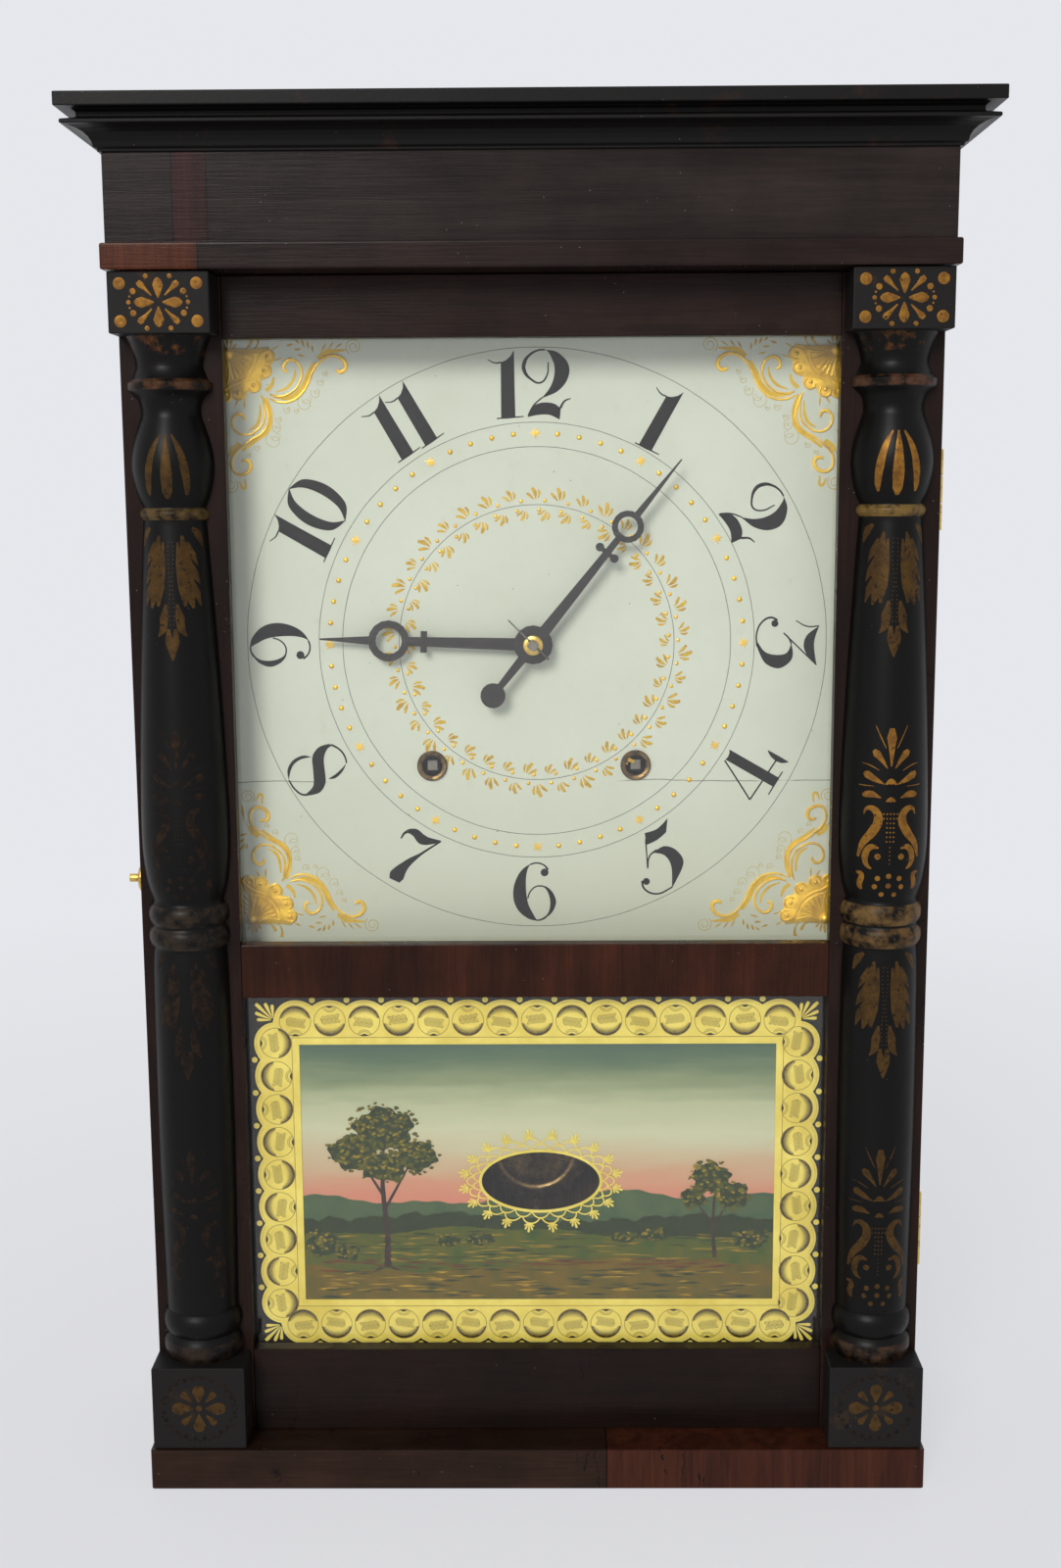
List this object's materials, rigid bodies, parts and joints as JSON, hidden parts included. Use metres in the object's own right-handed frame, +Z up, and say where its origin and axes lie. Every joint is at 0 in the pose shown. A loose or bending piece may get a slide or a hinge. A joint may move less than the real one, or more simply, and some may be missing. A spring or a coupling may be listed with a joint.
{
  "type": "half-column shelf clock",
  "caption": "Weight-driven shelf clock: cornice case with a full-front glazed door, half columns and corner blocks, painted dial, pendulum, striking train and side weights.",
  "frame": {"origin": "middle of the clock's footprint on the shelf", "axes": "+Z up, +X to the viewer's right facing the dial, the dial faces -Y"},
  "size_m": [0.4142, 0.1428, 0.6628],
  "materials": {
    "mahogany": "shellacked, worn",
    "ebonised": "black paint with worn bronze stencilling",
    "pine": "bare, aged",
    "maple": "bare, aged",
    "dial_paint": "painted off-white",
    "glass": "clear, old",
    "brass": "tarnished",
    "blued_steel": "browned",
    "iron": "rough cast",
    "cord": "twisted flax"
  },
  "bodies": {
    "case": {"base_board": "mahogany", "case_side_left": "mahogany", "case_side_right": "mahogany", "back_board": "pine", "band_board": "mahogany", "frieze_front": "mahogany", "frieze_end_left": "mahogany", "frieze_end_right": "mahogany", "cornice_moulding": "ebonised", "cap_board": "ebonised", "chute_board_left": "pine", "chute_board_right": "pine", "dial_board": "dial_paint", "hinge_lower_case_leaf": "brass", "hinge_upper_case_leaf": "brass", "front_plate": "maple", "back_plate": "maple", "bell": "iron", "time_cord": "cord", "time_cord_run": "cord", "strike_cord": "cord", "strike_cord_run": "cord"},
    "door": {"door_stile_left": "mahogany", "door_stile_right": "mahogany", "door_top_rail": "mahogany", "door_mid_rail": "mahogany", "door_bottom_rail": "mahogany", "dial_glass": "glass", "tablet_glass": "glass", "base_block_left": "ebonised", "base_block_right": "ebonised", "capital_block_left": "ebonised", "capital_block_right": "ebonised", "half_column_left": "ebonised", "half_column_right": "ebonised", "hinge_lower_door_leaf": "brass", "hinge_upper_door_leaf": "brass", "latch_rose": "brass"},
    "latch": {"latch_hook": "brass"},
    "minute": {"minute_hand": "blued_steel", "centre_wheel": "maple"},
    "hour": {"hour_hand": "blued_steel", "hour_wheel": "maple"},
    "minute_work": {"minute_wheel": "maple"},
    "second_arbor": {"second_wheel": "maple"},
    "time_great": {"time_great_wheel": "maple"},
    "third_arbor": {"third_wheel": "maple"},
    "escape_arbor": {"escape_wheel": "maple"},
    "verge_arbor": {"verge": "blued_steel"},
    "pendulum": {"pendulum_rod": "blued_steel", "pendulum_bob": "brass"},
    "time_winder": {"time_drum": "maple"},
    "time_sheave": {"time_pulley": "maple"},
    "time_mass": {"time_weight": "iron"},
    "strike_arbor": {"pin_wheel": "maple"},
    "strike_great": {"strike_great_wheel": "maple"},
    "strike_winder": {"strike_drum": "maple"},
    "strike_sheave": {"strike_pulley": "maple"},
    "strike_mass": {"strike_weight": "iron"},
    "striker": {"hammer": "iron"}
  },
  "joints": [
    {"name": "door_swing", "type": "hinge", "parent": "case", "child": "door", "pos_m": [0.193, -0.01635, 0.3], "axis": [0, 0, 1], "range_deg": [0, 115]},
    {"name": "latch_turn", "type": "hinge", "parent": "case", "child": "latch", "pos_m": [-0.1905, 0.0114, 0.305], "axis": [-1, 0, 0], "range_deg": [0, 90]},
    {"name": "minute_turn", "type": "hinge", "parent": "case", "child": "minute", "pos_m": [0, 0, 0.417], "axis": [0, 1, 0], "continuous": true},
    {"name": "hour_turn", "type": "hinge", "parent": "case", "child": "hour", "pos_m": [0, 0, 0.417], "axis": [0, 1, 0], "continuous": true},
    {"name": "minute_work_turn", "type": "hinge", "parent": "case", "child": "minute_work", "pos_m": [0.03, 0, 0.417], "axis": [0, 1, 0], "continuous": true},
    {"name": "second_turn", "type": "hinge", "parent": "case", "child": "second_arbor", "pos_m": [0.0501, 0, 0.4095], "axis": [0, 1, 0], "continuous": true},
    {"name": "time_great_turn", "type": "hinge", "parent": "case", "child": "time_great", "pos_m": [0.0501, 0, 0.357], "axis": [0, 1, 0], "continuous": true},
    {"name": "third_turn", "type": "hinge", "parent": "case", "child": "third_arbor", "pos_m": [0.02397, 0, 0.44777], "axis": [0, -1, 0], "continuous": true},
    {"name": "escape_turn", "type": "hinge", "parent": "case", "child": "escape_arbor", "pos_m": [0, 0, 0.477], "axis": [0, 1, 0], "continuous": true},
    {"name": "pendulum_swing", "type": "hinge", "parent": "case", "child": "pendulum", "pos_m": [0, 0, 0.525], "axis": [0, 1, 0], "range_deg": [-4, 4]},
    {"name": "verge_swing", "type": "hinge", "parent": "case", "child": "verge_arbor", "pos_m": [0, 0, 0.512], "axis": [0, 1, 0], "range_deg": [-5.5, 5.5]},
    {"name": "time_wind", "type": "hinge", "parent": "case", "child": "time_winder", "pos_m": [0.0501, 0, 0.357], "axis": [0, 1, 0], "range_deg": [0, 1080]},
    {"name": "time_pulley_turn", "type": "hinge", "parent": "case", "child": "time_sheave", "pos_m": [0.143, 0, 0.56], "axis": [0, 1, 0], "range_deg": [-2030, 0]},
    {"name": "time_weight_rise", "type": "slide", "parent": "case", "child": "time_mass", "axis": [0, 0, 1], "range_m": [0, 0.322], "deforming": ["time_cord"]},
    {"name": "strike_turn", "type": "hinge", "parent": "case", "child": "strike_arbor", "pos_m": [-0.0781, 0, 0.40141], "axis": [0, 1, 0], "continuous": true},
    {"name": "strike_great_turn", "type": "hinge", "parent": "case", "child": "strike_great", "pos_m": [-0.0501, 0, 0.357], "axis": [0, 1, 0], "continuous": true},
    {"name": "strike_wind", "type": "hinge", "parent": "case", "child": "strike_winder", "pos_m": [-0.0501, 0, 0.357], "axis": [0, -1, 0], "range_deg": [0, 1080]},
    {"name": "strike_pulley_turn", "type": "hinge", "parent": "case", "child": "strike_sheave", "pos_m": [-0.143, 0, 0.56], "axis": [0, -1, 0], "range_deg": [-2030, 0]},
    {"name": "strike_weight_rise", "type": "slide", "parent": "case", "child": "strike_mass", "axis": [0, 0, 1], "range_m": [0, 0.322], "deforming": ["strike_cord"]},
    {"name": "hammer_lift", "type": "hinge", "parent": "case", "child": "striker", "pos_m": [-0.10001, 0, 0.36997], "axis": [0, 1, 0], "range_deg": [0, 7]}
  ],
  "couplings": [
    {"joint": "escape_turn", "follows": "third_turn", "ratio": 8},
    {"joint": "minute_turn", "follows": "third_turn", "ratio": 0.11111},
    {"joint": "hour_turn", "follows": "third_turn", "ratio": 0.0092593},
    {"joint": "minute_work_turn", "follows": "third_turn", "ratio": -0.037037},
    {"joint": "second_turn", "follows": "third_turn", "ratio": -0.055556},
    {"joint": "time_great_turn", "follows": "third_turn", "ratio": 0.011111},
    {"joint": "verge_swing", "follows": "pendulum_swing", "ratio": 1.3714},
    {"joint": "time_wind", "follows": "time_weight_rise", "rad_per_m": 58.48},
    {"joint": "time_pulley_turn", "follows": "time_weight_rise", "rad_per_m": -109.89},
    {"joint": "strike_great_turn", "follows": "strike_turn", "ratio": -0.2},
    {"joint": "strike_wind", "follows": "strike_weight_rise", "rad_per_m": 58.48},
    {"joint": "strike_pulley_turn", "follows": "strike_weight_rise", "rad_per_m": -109.89}
  ]
}
